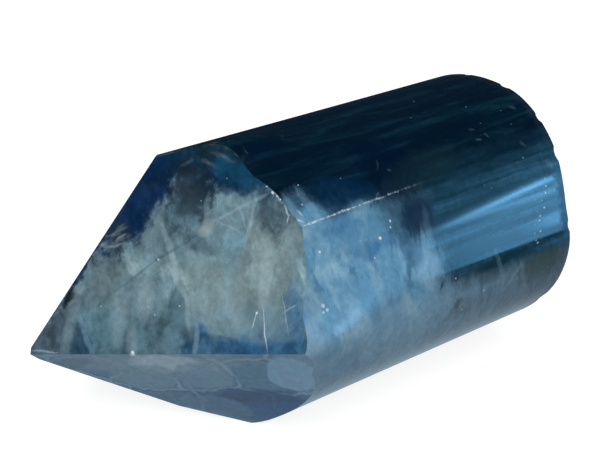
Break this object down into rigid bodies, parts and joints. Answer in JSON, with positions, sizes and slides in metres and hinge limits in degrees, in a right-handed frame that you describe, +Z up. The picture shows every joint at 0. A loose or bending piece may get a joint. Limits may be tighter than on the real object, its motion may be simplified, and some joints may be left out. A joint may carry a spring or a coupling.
{
  "type": "polished agate point",
  "caption": "Plump polished blue agate point: nearly round column with a low crest, flat facets meeting at one end and a sawn base.",
  "frame": {"origin": "under the middle of the stone's box, on the surface it lies on", "axes": "-X towards the tip, +X towards the sawn base, -Y towards the side with the large front facet, +Z up"},
  "size_m": [0.0742, 0.043, 0.0405],
  "materials": {
    "blue_agate": "polished"
  },
  "bodies": {
    "root": {"agate_point": "blue_agate"}
  },
  "joints": []
}
